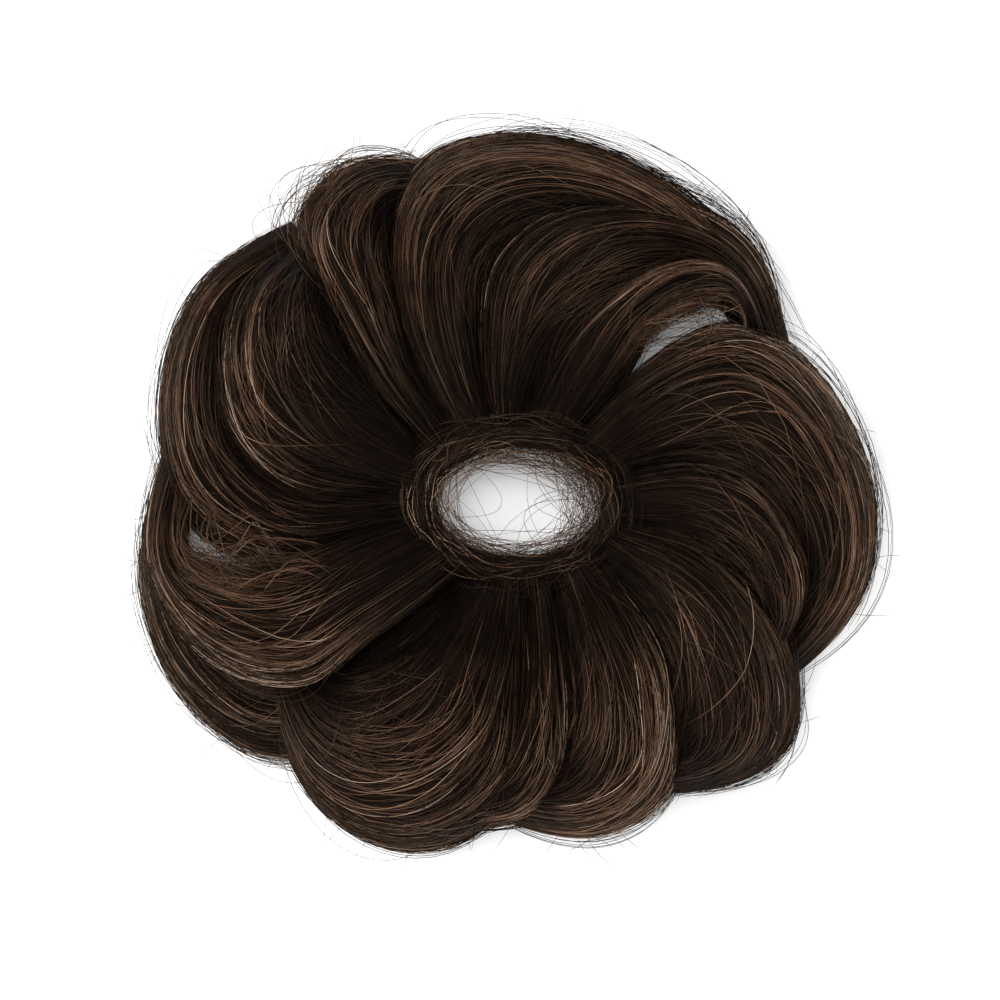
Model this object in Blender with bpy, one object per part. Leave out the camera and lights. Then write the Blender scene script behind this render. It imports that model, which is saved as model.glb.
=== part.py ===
"""Top knot hairpiece: an oval elastic in a wound band of hair, with curls that fan out round it.

Metres, +Z up. The hairpiece lies on z = 0, with the middle of its outline over the origin.
Seen from above, every curl leaves the band outwards, bends clockwise along the rim,
and tucks its tip under the next curl.
"""

import math
from collections import namedtuple

import bmesh
import bpy
import numpy as np

MM = 0.001

# The oval that a bun or a ponytail goes through, and where its middle lies.
RING_X, RING_Y = 2.56 * MM, -2.13 * MM
HOLE_HALF_LONG, HOLE_HALF_SHORT = 17.4 * MM, 11.4 * MM
WRAP_WIDTH, WRAP_HEIGHT = 6.8 * MM, 18.0 * MM
WRAP_STEPS = 56

# The wound hair's outline as shares of its width and height, from below, over the top, to the hole.
WRAP_OUTLINE = (
    (0.78, 0.00), (0.96, 0.12), (1.00, 0.45), (0.95, 0.80),
    (0.75, 0.96), (0.50, 1.00), (0.24, 0.97), (0.05, 0.84),
)
WRAP_FOOT = ((0.04, 0.12), (0.24, 0.00))

# The elastic lies in a groove that the wound hair leaves on the side of the hole.
ELASTIC_WIDTH, ELASTIC_HEIGHT = 2.6 * MM, 4.4 * MM
ELASTIC_MIDDLE = 8.6 * MM
ELASTIC_SIDES = 8

# Pieces that touch on the real thing keep this gap.
GAP = 0.3 * MM

# A curl is an arch of hair: closed sections with this many points, at this many stations.
# The crest lies CREST_AT of the way from the inner edge. The arch is HEM_SHARE as thick at
# its hems as at its crest, and never takes more than MOST_THICK of its own width or height.
STATIONS = 16
TOP_POINTS = 10
UNDER_POINTS = 5
STRANDS_ACROSS = 3
STRAND_RELIEF = 0.5 * MM
CREST_AT = 0.58
HEM_SHARE = 0.55
MOST_THICK = 0.6
FLOOR_CLEAR = 5 * MM
LIFTED_FROM = 0.2
SMALLEST_EDGE = 0.02 * MM

# How a curl changes from its root to its tip, as shares of its crest height and thickness.
Stage = namedtuple("Stage", "crest inner_hem outer_hem thick")
STAGES = (
    Stage(crest=0.42, inner_hem=0.20, outer_hem=0.20, thick=0.60),  # root
    Stage(crest=0.74, inner_hem=0.30, outer_hem=0.20, thick=0.85),  # rise
    Stage(crest=0.95, inner_hem=0.34, outer_hem=0.08, thick=1.00),  # shoulder
    Stage(crest=1.00, inner_hem=0.34, outer_hem=0.00, thick=1.00),  # crown
    Stage(crest=0.80, inner_hem=0.24, outer_hem=0.00, thick=0.90),  # rim
    Stage(crest=0.42, inner_hem=0.08, outer_hem=0.02, thick=0.55),  # tip
)

# Edges are (degrees, mm) about the ring's middle, anticlockwise from +X seen from above.
# Each root starts in the band, so it has an angle alone.
Curl = namedtuple("Curl", "name crest hem thick root rise shoulder crown rim tip")
Edges = namedtuple("Edges", "outer inner")


def curl(name, crest, hem, thick, root, *pairs):
    """A curl from its root angles and five (outer edge, inner edge) pairs of (degrees, mm)."""
    return Curl(name, crest * MM, hem * MM, thick * MM, Edges(*root), *(Edges(*pair) for pair in pairs))


CURLS = (
    curl("curl_top_back", 37, 0.4, 14, (134, 108),
         ((127, 40), (104, 36)), ((111, 72.5), (98, 49)), ((92, 79.5), (84, 59)),
         ((57, 74.5), (60, 62)), ((30, 66.5), (32, 61))),
    curl("curl_top_mid", 35, 0.4, 13, (112, 86),
         ((106, 37), (76, 32)), ((98, 56), (66, 42)), ((80, 69), (57, 52)),
         ((52, 75.5), (46, 60)), ((30, 68), (32, 59))),
    curl("curl_top_front", 37, 0.4, 12, (90, 48),
         ((80, 33), (49, 36)), ((69, 47), (52, 46)), ((60, 60), (48, 57.5)),
         ((49, 68), (41.5, 63)), ((30, 65), (32, 58))),
    curl("curl_right", 38, 0.4, 15, (50, 14),
         ((48, 38), (12, 36)), ((38.5, 61.5), (4, 48)), ((15, 73), (-6, 56)),
         ((-11, 77.5), (-16, 61)), ((-33, 70.5), (-31, 61))),
    curl("curl_right_inner", 34, 0.4, 13, (18, -14),
         ((17, 38), (-14, 35)), ((10, 51), (-20, 46)), ((-2, 60), (-26, 54)),
         ((-15, 66.5), (-31, 58)), ((-32, 67), (-36, 60))),
    curl("curl_lower_right", 39, 0.4, 15, (-9, -38),
         ((-10, 37), (-43, 33)), ((-20, 56), (-49, 46)), ((-35, 74), (-56, 55)),
         ((-47, 78.5), (-61, 60)), ((-65, 70), (-66, 60))),
    curl("curl_lower_mid", 38, 0.4, 15, (-33, -68),
         ((-41, 36), (-73, 31)), ((-49, 53), (-76, 42)), ((-61, 70), (-81, 50)),
         ((-76, 74.5), (-87, 55)), ((-94, 69), (-94, 57))),
    curl("curl_bottom_side", 34, 0.4, 11, (-66, -84),
         ((-72, 34), (-88, 34)), ((-75, 46), (-91, 46)), ((-79, 58), (-96, 56)),
         ((-87, 68), (-102, 62)), ((-105, 73), (-108, 64))),
    curl("curl_bottom", 39, 0.4, 16, (-82, -122),
         ((-85, 42), (-126, 35)), ((-90, 62), (-131, 44)), ((-104, 77.5), (-136, 51)),
         ((-122, 79.3), (-140, 55)), ((-146, 66), (-145, 57))),
    curl("curl_lower_left", 39, 11, 15, (-130, -174),
         ((-137, 42), (-168, 38)), ((-139, 60), (-166, 52)), ((-153, 74.5), (-167.2, 62.5)),
         ((-170, 80.5), (-173.3, 73)), ((-193, 76), (-191, 69))),
    curl("curl_lower_left_under", 17, 0.4, 9, (-118, -136),
         ((-127, 50), (-144, 44)), ((-131, 73), (-150, 58)), ((-145, 83), (-157, 66)),
         ((-165, 84.5), (-170, 72.5)), ((-187, 78), (-186, 68))),
    curl("curl_left_rim", 29, 0.4, 11, (190, 176),
         ((196, 44), (176, 40)), ((192.5, 60), (168, 56)), ((178.5, 75), (157, 66)),
         ((150, 83.5), (143, 72)), ((129, 78.5), (129, 68))),
    curl("curl_left", 38, 0.4, 15, (180, 148),
         ((179, 43), (141, 36)), ((172, 60), (135, 50)), ((159, 71), (131, 58)),
         ((145, 76.5), (128, 63)), ((129, 75), (125, 64))),
    curl("curl_top_left", 34, 0.4, 9, (153, 130),
         ((144, 36), (127, 36)), ((137, 54), (120, 51)), ((130, 74.5), (116, 60)),
         ((119, 81.3), (111, 66)), ((106, 77.5), (104, 66))),
)

# Which curls lie over which: a covered curl ends where it goes under its neighbour.
COVERED_BY = {
    "curl_top_back": ("curl_top_mid", "curl_top_front", "curl_right"),
    "curl_top_mid": ("curl_top_front", "curl_right"),
    "curl_top_front": ("curl_right",),
    "curl_right": ("curl_right_inner", "curl_lower_right"),
    "curl_right_inner": ("curl_lower_right",),
    "curl_lower_right": ("curl_lower_mid",),
    "curl_lower_mid": ("curl_bottom_side", "curl_bottom"),
    "curl_bottom_side": ("curl_bottom",),
    "curl_bottom": ("curl_lower_left",),
    "curl_lower_left_under": ("curl_bottom", "curl_left_rim"),
    "curl_lower_left": ("curl_left_rim", "curl_left"),
    "curl_left_rim": ("curl_left", "curl_top_left"),
    "curl_left": ("curl_top_left",),
    "curl_top_left": ("curl_top_back",),
}

# These curls lie on top of another from root to tip, so the lower one keeps what is below them.
LIES_UNDER = {"curl_lower_left_under": "curl_lower_left"}


def material(name, colour, roughness):
    """A Principled BSDF with one colour and one roughness."""
    made = bpy.data.materials.new(name)
    made.use_nodes = True
    shader = made.node_tree.nodes["Principled BSDF"]
    shader.inputs["Base Color"].default_value = (*colour, 1.0)
    shader.inputs["Roughness"].default_value = roughness
    shader.inputs["Metallic"].default_value = 0.0
    return made


def make_object(name, mesh, look):
    """Links a new object with this mesh and material, shaded smooth except at sharp edges."""
    mesh.materials.append(look)
    mesh.shade_smooth()
    mesh.set_sharp_from_angle(angle=math.radians(50))
    made = bpy.data.objects.new(name, mesh)
    bpy.context.scene.collection.objects.link(made)
    return made


def tube_mesh(name, sections, closed):
    """One closed body from sections, rows of points that run the same way round."""
    shape = bmesh.new()
    rings = [[shape.verts.new(point) for point in section] for section in sections]
    pairs = list(zip(rings, rings[1:]))
    if closed:
        pairs.append((rings[-1], rings[0]))
    else:
        shape.faces.new(rings[0])
        shape.faces.new(rings[-1])
    for one, other in pairs:
        for i in range(len(one)):
            j = (i + 1) % len(one)
            shape.faces.new((one[i], one[j], other[j], other[i]))
    bmesh.ops.recalc_face_normals(shape, faces=shape.faces)
    mesh = bpy.data.meshes.new(name)
    shape.to_mesh(mesh)
    shape.free()
    return mesh


def spline(knots, s):
    """A smooth curve through evenly spaced knots, at s from 0 to 1."""
    knots = np.asarray(knots, float)
    held = np.vstack([2 * knots[0] - knots[1], knots, 2 * knots[-1] - knots[-2]])
    place = np.clip(s, 0.0, 1.0) * (len(knots) - 1)
    step = np.minimum(place.astype(int), len(knots) - 2)
    f = (place - step)[..., None]
    a, b, c, d = (held[step + i] for i in range(4))
    return 0.5 * (2 * b + (c - a) * f + (2 * a - 5 * b + 4 * c - d) * f**2 + (3 * b - a - 3 * c + d) * f**3)


def oval(turn, grow):
    """Points on the hole's oval, moved out along its normal by grow. turn is in radians."""
    x, y = HOLE_HALF_LONG * np.cos(turn), HOLE_HALF_SHORT * np.sin(turn)
    nx, ny = x / HOLE_HALF_LONG**2, y / HOLE_HALF_SHORT**2
    length = np.hypot(nx, ny)
    return RING_X + x + grow * nx / length, RING_Y + y + grow * ny / length


def band_sections(profile):
    """Sections round the oval of a profile of (out from the hole's edge, height)."""
    turns = np.arange(WRAP_STEPS) * 2 * math.pi / WRAP_STEPS
    return [[(*oval(turn, out), up) for out, up in profile] for turn in turns]


def wrap_profile():
    """The wound hair: flat below where it rests, round above, with the elastic's groove."""
    low = ELASTIC_MIDDLE - ELASTIC_HEIGHT / 2 - GAP
    high = ELASTIC_MIDDLE + ELASTIC_HEIGHT / 2 + GAP
    deep = ELASTIC_WIDTH + 2 * GAP
    outside = [(out * WRAP_WIDTH, up * WRAP_HEIGHT) for out, up in WRAP_OUTLINE]
    foot = [(out * WRAP_WIDTH, up * WRAP_HEIGHT) for out, up in WRAP_FOOT]
    groove = [(0, high), (deep, high), (deep, low), (0, low)]
    return outside + groove + foot


def elastic_profile():
    """The elastic's rounded section, a gap clear of its groove."""
    half_side = math.pi / ELASTIC_SIDES
    points = []
    for i in range(ELASTIC_SIDES):
        angle = (2 * i + 1) * half_side
        out = GAP + ELASTIC_WIDTH / 2 * (1 + math.cos(angle) / math.cos(half_side))
        points.append((out, ELASTIC_MIDDLE + ELASTIC_HEIGHT / 2 * math.sin(angle)))
    return points


def edge_knots(shape, side):
    """The six (degrees, metres) knots of a curl's outer or inner edge."""
    angle = getattr(shape.root, side)
    x, y = oval(math.radians(angle), WRAP_WIDTH / 2)
    knots = [(angle, math.hypot(x - RING_X, y - RING_Y))]
    for stage in (shape.rise, shape.shoulder, shape.crown, shape.rim, shape.tip):
        degrees, reach = getattr(stage, side)
        knots.append((degrees, reach * MM))
    return knots


def edge_points(shape, side, s):
    """Where an edge runs, as x and y."""
    polar = spline(edge_knots(shape, side), s)
    angle = np.radians(polar[..., 0])
    return np.stack([RING_X + polar[..., 1] * np.cos(angle), RING_Y + polar[..., 1] * np.sin(angle)], -1)


def arch(shape, s, turn, depth):
    """Points of a curl's arch of hair.

    s runs from root to tip. turn is the angle over the arch, from -90 degrees at
    the inner hem, through 0 at the crest, to 90 at the outer hem. depth is 0 on
    the outer skin and 1 on the hollow side.
    """
    inner, outer = edge_points(shape, "inner", s), edge_points(shape, "outer", s)
    across = outer - inner
    width = np.linalg.norm(across, axis=-1)
    side = across / width[..., None]
    crest, inner_hem, outer_hem, thick = spline(STAGES, s).T
    crest, thick = crest * shape.crest, thick * shape.thick
    hem = np.where(turn > 0, outer_hem, inner_hem) * shape.crest
    hem = hem + shape.hem * np.minimum(s / LIFTED_FROM, 1.0)
    share = np.where(turn > 0, 1 - CREST_AT, CREST_AT)
    reach = width * share
    rise = crest - hem
    reach = reach - depth * np.minimum(HEM_SHARE * thick, MOST_THICK * reach)
    rise = rise - depth * np.minimum(thick, MOST_THICK * rise)
    along = width * CREST_AT + reach * np.sin(turn)
    xy = inner + side * along[..., None]
    return np.concatenate([xy, (hem + rise * np.cos(turn))[..., None]], -1)


def skin(shape, s):
    """The outer skin of one section, hem to hem, with a few strands raised along it."""
    over = np.linspace(-math.pi / 2, math.pi / 2, TOP_POINTS)
    relief = STRAND_RELIEF * (1 - np.cos(2 * STRANDS_ACROSS * over)) * np.cos(over)
    return arch(shape, np.full(TOP_POINTS, s), over, relief / shape.thick)


def curl_mesh(shape):
    """A curl as a closed arch of hair, hollow below."""
    under = np.linspace(math.pi / 2, -math.pi / 2, UNDER_POINTS)
    sections = []
    for s in np.linspace(0.0, 1.0, STATIONS):
        hollow = arch(shape, np.full(UNDER_POINTS, s), under, 1.0)
        sections.append(np.vstack([skin(shape, s), hollow]).tolist())
    return tube_mesh(shape.name, sections, closed=False)


def dome_mesh(shape, to_floor):
    """The space a curl takes, filled down past the floor or just to its lower hem."""
    sections = []
    for s in np.linspace(0.0, 1.0, STATIONS):
        top = skin(shape, s)
        feet = top[[-1, 0]]
        feet[:, 2] = -FLOOR_CLEAR if to_floor else feet[:, 2].min() - GAP
        sections.append(np.vstack([top, feet]).tolist())
    return tube_mesh("dome", sections, closed=False)


def grown(mesh, by):
    """A copy of a mesh with each point moved out along its normal."""
    copy = mesh.copy()
    moves = [vertex.normal * by for vertex in copy.vertices]
    for vertex, move in zip(copy.vertices, moves):
        vertex.co += move
    return copy


def largest_body(mesh):
    """Deletes all of a mesh but its largest connected piece."""
    shape = bmesh.new()
    shape.from_mesh(mesh)
    left = set(shape.verts)
    bodies = []
    while left:
        body, queue = set(), [left.pop()]
        while queue:
            vertex = queue.pop()
            body.add(vertex)
            for linked in vertex.link_edges:
                other = linked.other_vert(vertex)
                if other in left:
                    left.remove(other)
                    queue.append(other)
        bodies.append(body)
    bodies.sort(key=len)
    for body in bodies[:-1]:
        bmesh.ops.delete(shape, geom=list(body), context="VERTS")
    bmesh.ops.dissolve_degenerate(shape, edges=shape.edges, dist=SMALLEST_EDGE)
    bmesh.ops.triangulate(shape, faces=shape.faces)
    shape.to_mesh(mesh)
    shape.free()


def cut(target, cutter_mesh):
    """Takes a cutter out of an object for good, and keeps the largest body."""
    cutter = bpy.data.objects.new("cutter", cutter_mesh)
    bpy.context.scene.collection.objects.link(cutter)
    boolean = target.modifiers.new("cut", "BOOLEAN")
    boolean.operation = "DIFFERENCE"
    boolean.solver = "EXACT"
    boolean.use_self = True
    boolean.object = cutter
    graph = bpy.context.evaluated_depsgraph_get()
    result = bpy.data.meshes.new_from_object(target.evaluated_get(graph))
    target.modifiers.remove(boolean)
    bpy.data.objects.remove(cutter)
    largest_body(result)
    old, target.data = target.data, result
    result.name = target.name
    bpy.data.meshes.remove(old)


def clear_scene():
    for old in list(bpy.data.objects):
        bpy.data.objects.remove(old, do_unlink=True)


def main():
    clear_scene()
    hair = material("dark_brown_hair", (0.045, 0.028, 0.018), 0.45)
    wound = material("wound_hair", (0.050, 0.031, 0.020), 0.5)
    rubber = material("covered_elastic", (0.060, 0.035, 0.022), 0.8)
    wrap = make_object("band_wrap", tube_mesh("band_wrap", band_sections(wrap_profile()), True), wound)
    make_object("elastic_band", tube_mesh("elastic_band", band_sections(elastic_profile()), True), rubber)
    wide_wrap = grown(wrap.data, GAP)
    shapes = {shape.name: shape for shape in CURLS}
    for shape in CURLS:
        piece = make_object(shape.name, curl_mesh(shape), hair)
        cut(piece, wide_wrap.copy())
        for over in COVERED_BY[shape.name]:
            cut(piece, grown(dome_mesh(shapes[over], True), GAP))
        if shape.name in LIES_UNDER:
            cut(piece, grown(dome_mesh(shapes[LIES_UNDER[shape.name]], False), GAP))


main()
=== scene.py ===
# %% [markdown]
# # A top knot hairpiece, hair by hair
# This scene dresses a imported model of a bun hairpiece: a ring of curls round an
# elastic. The model gives the true form of every curl. Here each curl becomes a dark
# body of packed hair under several hundred single hairs, each a thin closed tube. So
# the sheen, the locks and the loose ends all come from real shapes.

# %% Load the model
import math
from collections import namedtuple

import bpy
import numpy as np
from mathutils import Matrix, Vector


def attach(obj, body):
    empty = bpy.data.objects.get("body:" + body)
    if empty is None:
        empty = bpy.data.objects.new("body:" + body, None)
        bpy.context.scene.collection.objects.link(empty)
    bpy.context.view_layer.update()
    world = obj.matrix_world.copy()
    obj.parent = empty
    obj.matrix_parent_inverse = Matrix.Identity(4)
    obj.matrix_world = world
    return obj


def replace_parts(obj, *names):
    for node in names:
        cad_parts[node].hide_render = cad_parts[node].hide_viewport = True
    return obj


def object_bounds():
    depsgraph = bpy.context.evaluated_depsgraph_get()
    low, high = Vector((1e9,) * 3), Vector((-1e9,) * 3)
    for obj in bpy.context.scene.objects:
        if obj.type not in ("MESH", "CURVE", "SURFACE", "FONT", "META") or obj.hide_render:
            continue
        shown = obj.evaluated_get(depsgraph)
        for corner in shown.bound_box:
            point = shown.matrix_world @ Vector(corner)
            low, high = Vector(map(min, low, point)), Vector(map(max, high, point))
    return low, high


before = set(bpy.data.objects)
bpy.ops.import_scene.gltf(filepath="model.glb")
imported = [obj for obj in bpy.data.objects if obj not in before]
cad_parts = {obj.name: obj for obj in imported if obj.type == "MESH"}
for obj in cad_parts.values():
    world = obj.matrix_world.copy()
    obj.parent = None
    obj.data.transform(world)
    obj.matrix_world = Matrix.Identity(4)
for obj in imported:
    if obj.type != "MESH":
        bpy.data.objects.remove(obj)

MM = 0.001
cad_box = [list(corner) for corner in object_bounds()]
cad_low, cad_high = (np.array(corner) for corner in cad_box)
print("nodes:", len(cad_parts), "size in mm:", np.round((cad_high - cad_low) / MM, 1))

# %% [markdown]
# ## The ring that everything grows from
# The hair is wound on an oval elastic. The middle of the opening, its two half widths
# and the section of the wound hair set where every curl starts, so they are written
# once here, as in the model's own source.

# %% The oval opening and the wound hair round it
RING_X, RING_Y = 2.56 * MM, -2.13 * MM
HOLE_HALF_LONG, HOLE_HALF_SHORT = 17.4 * MM, 11.4 * MM
WRAP_WIDTH, WRAP_HEIGHT = 6.8 * MM, 18.0 * MM
ELASTIC_WIDTH, ELASTIC_HEIGHT = 2.6 * MM, 4.4 * MM
ELASTIC_MIDDLE = 8.6 * MM
GAP = 0.3 * MM


def oval(turn, grow):
    """Points on the opening's oval, moved out along its normal by grow. turn is in radians."""
    x, y = HOLE_HALF_LONG * np.cos(turn), HOLE_HALF_SHORT * np.sin(turn)
    nx, ny = x / HOLE_HALF_LONG**2, y / HOLE_HALF_SHORT**2
    length = np.hypot(nx, ny)
    return RING_X + x + grow * nx / length, RING_Y + y + grow * ny / length


print("opening in mm:", 2 * HOLE_HALF_LONG / MM, "x", 2 * HOLE_HALF_SHORT / MM)

# %% [markdown]
# ## The form of a curl
# A curl is an arch of hair that leaves the ring, bends clockwise along the rim and
# tucks its tip under the next curl. Two edge curves give its plan, and a table of
# stages gives its height from root to tip. A function then turns (how far along, how
# far round the arch, how deep) into a point. Hair laid by that function follows the
# curl by itself, which is easier to steer than combing a particle system.

# %% How a curl changes from root to tip
Stage = namedtuple("Stage", "crest inner_hem outer_hem thick")
STAGES = (
    Stage(crest=0.42, inner_hem=0.20, outer_hem=0.20, thick=0.60),  # root
    Stage(crest=0.74, inner_hem=0.30, outer_hem=0.20, thick=0.85),  # rise
    Stage(crest=0.95, inner_hem=0.34, outer_hem=0.08, thick=1.00),  # shoulder
    Stage(crest=1.00, inner_hem=0.34, outer_hem=0.00, thick=1.00),  # crown
    Stage(crest=0.80, inner_hem=0.24, outer_hem=0.00, thick=0.90),  # rim
    Stage(crest=0.42, inner_hem=0.08, outer_hem=0.02, thick=0.55),  # tip
)
CREST_AT = 0.58  # where the crest lies between the inner edge and the outer one
HEM_SHARE = 0.55  # how thick the hair is at the hems beside the crest
MOST_THICK = 0.6  # the most that the hair takes of its own reach and rise
LIFTED_FROM = 0.2  # the share of the length where a lifted hem is fully up
MEASURE_STEPS = 24

Curl = namedtuple("Curl", "name crest hem thick root rise shoulder crown rim tip")
Edges = namedtuple("Edges", "outer inner")


def curl(name, crest, hem, thick, root, *pairs):
    """A curl from its root angles and five (outer edge, inner edge) pairs of (degrees, mm)."""
    return Curl(name, crest * MM, hem * MM, thick * MM, Edges(*root), *(Edges(*pair) for pair in pairs))


# %% The fourteen curls, anticlockwise angles about the ring's middle
CURLS = (
    curl("curl_top_back", 37, 0.4, 14, (134, 108),
         ((127, 40), (104, 36)), ((111, 72.5), (98, 49)), ((92, 79.5), (84, 59)),
         ((57, 74.5), (60, 62)), ((30, 66.5), (32, 61))),
    curl("curl_top_mid", 35, 0.4, 13, (112, 86),
         ((106, 37), (76, 32)), ((98, 56), (66, 42)), ((80, 69), (57, 52)),
         ((52, 75.5), (46, 60)), ((30, 68), (32, 59))),
    curl("curl_top_front", 37, 0.4, 12, (90, 48),
         ((80, 33), (49, 36)), ((69, 47), (52, 46)), ((60, 60), (48, 57.5)),
         ((49, 68), (41.5, 63)), ((30, 65), (32, 58))),
    curl("curl_right", 38, 0.4, 15, (50, 14),
         ((48, 38), (12, 36)), ((38.5, 61.5), (4, 48)), ((15, 73), (-6, 56)),
         ((-11, 77.5), (-16, 61)), ((-33, 70.5), (-31, 61))),
    curl("curl_right_inner", 34, 0.4, 13, (18, -14),
         ((17, 38), (-14, 35)), ((10, 51), (-20, 46)), ((-2, 60), (-26, 54)),
         ((-15, 66.5), (-31, 58)), ((-32, 67), (-36, 60))),
    curl("curl_lower_right", 39, 0.4, 15, (-9, -38),
         ((-10, 37), (-43, 33)), ((-20, 56), (-49, 46)), ((-35, 74), (-56, 55)),
         ((-47, 78.5), (-61, 60)), ((-65, 70), (-66, 60))),
    curl("curl_lower_mid", 38, 0.4, 15, (-33, -68),
         ((-41, 36), (-73, 31)), ((-49, 53), (-76, 42)), ((-61, 70), (-81, 50)),
         ((-76, 74.5), (-87, 55)), ((-94, 69), (-94, 57))),
    curl("curl_bottom_side", 34, 0.4, 11, (-66, -84),
         ((-72, 34), (-88, 34)), ((-75, 46), (-91, 46)), ((-79, 58), (-96, 56)),
         ((-87, 68), (-102, 62)), ((-105, 73), (-108, 64))),
    curl("curl_bottom", 39, 0.4, 16, (-82, -122),
         ((-85, 42), (-126, 35)), ((-90, 62), (-131, 44)), ((-104, 77.5), (-136, 51)),
         ((-122, 79.3), (-140, 55)), ((-146, 66), (-145, 57))),
    curl("curl_lower_left", 39, 11, 15, (-130, -174),
         ((-137, 42), (-168, 38)), ((-139, 60), (-166, 52)), ((-153, 74.5), (-167.2, 62.5)),
         ((-170, 80.5), (-173.3, 73)), ((-193, 76), (-191, 69))),
    curl("curl_lower_left_under", 17, 0.4, 9, (-118, -136),
         ((-127, 50), (-144, 44)), ((-131, 73), (-150, 58)), ((-145, 83), (-157, 66)),
         ((-165, 84.5), (-170, 72.5)), ((-187, 78), (-186, 68))),
    curl("curl_left_rim", 29, 0.4, 11, (190, 176),
         ((196, 44), (176, 40)), ((192.5, 60), (168, 56)), ((178.5, 75), (157, 66)),
         ((150, 83.5), (143, 72)), ((129, 78.5), (129, 68))),
    curl("curl_left", 38, 0.4, 15, (180, 148),
         ((179, 43), (141, 36)), ((172, 60), (135, 50)), ((159, 71), (131, 58)),
         ((145, 76.5), (128, 63)), ((129, 75), (125, 64))),
    curl("curl_top_left", 34, 0.4, 9, (153, 130),
         ((144, 36), (127, 36)), ((137, 54), (120, 51)), ((130, 74.5), (116, 60)),
         ((119, 81.3), (111, 66)), ((106, 77.5), (104, 66))),
)


# %% A smooth curve, a curl's edges and its arch
def spline(knots, s):
    """A smooth curve through evenly spaced knots, at s from 0 to 1."""
    knots = np.asarray(knots, float)
    held = np.vstack([2 * knots[0] - knots[1], knots, 2 * knots[-1] - knots[-2]])
    place = np.clip(s, 0.0, 1.0) * (len(knots) - 1)
    step = np.minimum(place.astype(int), len(knots) - 2)
    f = (place - step)[..., None]
    a, b, c, d = (held[step + i] for i in range(4))
    return 0.5 * (2 * b + (c - a) * f + (2 * a - 5 * b + 4 * c - d) * f**2 + (3 * b - a - 3 * c + d) * f**3)


def edge_points(shape, side, s):
    """Where a curl's outer or inner edge runs, as x and y."""
    angle = getattr(shape.root, side)
    x, y = oval(math.radians(angle), WRAP_WIDTH / 2)
    knots = [(angle, math.hypot(x - RING_X, y - RING_Y))]
    for stage in (shape.rise, shape.shoulder, shape.crown, shape.rim, shape.tip):
        degrees, reach = getattr(stage, side)
        knots.append((degrees, reach * MM))
    polar = spline(knots, s)
    around = np.radians(polar[..., 0])
    return np.stack([RING_X + polar[..., 1] * np.cos(around), RING_Y + polar[..., 1] * np.sin(around)], -1)


def arch(shape, s, turn, inward):
    """Points of a curl's arch. turn runs from -pi/2 at the inner hem to pi/2 at the outer hem.

    inward is how far the point lies below the skin, in metres, and is negative above it.
    """
    inner, outer = edge_points(shape, "inner", s), edge_points(shape, "outer", s)
    across = outer - inner
    width = np.linalg.norm(across, axis=-1)
    side = across / width[..., None]
    crest, inner_hem, outer_hem, thick = np.moveaxis(spline(STAGES, s), -1, 0)
    crest, thick = crest * shape.crest, thick * shape.thick
    hem = np.where(turn > 0, outer_hem, inner_hem) * shape.crest
    hem = hem + shape.hem * np.minimum(s / LIFTED_FROM, 1.0)
    share = np.where(turn > 0, 1 - CREST_AT, CREST_AT)
    depth = inward / shape.thick
    reach = width * share
    rise = crest - hem
    reach = reach - depth * np.minimum(HEM_SHARE * thick, MOST_THICK * reach)
    rise = rise - depth * np.minimum(thick, MOST_THICK * rise)
    along = width * CREST_AT + reach * np.sin(turn)
    xy = inner + side * along[..., None]
    return np.concatenate([xy, (hem + rise * np.cos(turn))[..., None]], -1)


def measure(shape):
    """A curl's length along its crest and its mean distance over the arch, in metres."""
    share = np.linspace(0, 1, MEASURE_STEPS)
    s, turn = np.meshgrid(share, np.linspace(-math.pi / 2, math.pi / 2, MEASURE_STEPS), indexing="ij")
    grid = arch(shape, s, turn, np.zeros_like(s))
    length = np.linalg.norm(np.diff(grid[:, MEASURE_STEPS // 2], axis=0), axis=1).sum()
    over = np.linalg.norm(np.diff(grid, axis=1), axis=2).sum(1).mean()
    return length, over


for shape in CURLS[:3]:
    print(shape.name, "length and distance over, in mm:", np.round(np.array(measure(shape)) / MM))

# %% [markdown]
# ## Colours and a small material kit
# The fibre is dark brown with paler brown strands mixed in. Colours are picked as the
# usual sRGB hex and turned to the linear values that a shader works in. One function
# adds a shader node with its settings and links, so each material below reads as a list.


# %% Colour and node helpers
def linear(hex_colour):
    """An sRGB hex colour as linear RGBA."""
    parts = [int(hex_colour[i:i + 2], 16) / 255 for i in (1, 3, 5)]
    return tuple(c / 12.92 if c <= 0.04045 else ((c + 0.055) / 1.055) ** 2.4 for c in parts) + (1.0,)


def new_material(name):
    """A material with an empty Principled shader, its node tree and that shader."""
    made = bpy.data.materials.new(name)
    made.use_nodes = True
    return made, made.node_tree, made.node_tree.nodes["Principled BSDF"]


def add(tree, kind, settings=None, **links):
    """Adds one node. settings sets its properties and, by input name, its sockets. links joins inputs."""
    node = tree.nodes.new(kind)
    for key, value in (settings or {}).items():
        if hasattr(node, key):
            setattr(node, key, value)
        else:
            node.inputs[key].default_value = value
    for key, source in links.items():
        tree.links.new(source, node.inputs[key.replace("_", " ")])
    return node


def set_ramp(node, *stops):
    """Gives a colour ramp its (place, hex colour) stops."""
    ramp = node.color_ramp
    while len(ramp.elements) < len(stops):
        ramp.elements.new(0.5)
    for element, (place, hex_colour) in zip(ramp.elements, stops):
        element.position = place
        element.color = linear(hex_colour)


print("half grey in sRGB, linear:", np.round(linear("#808080")[:3], 4))

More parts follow.
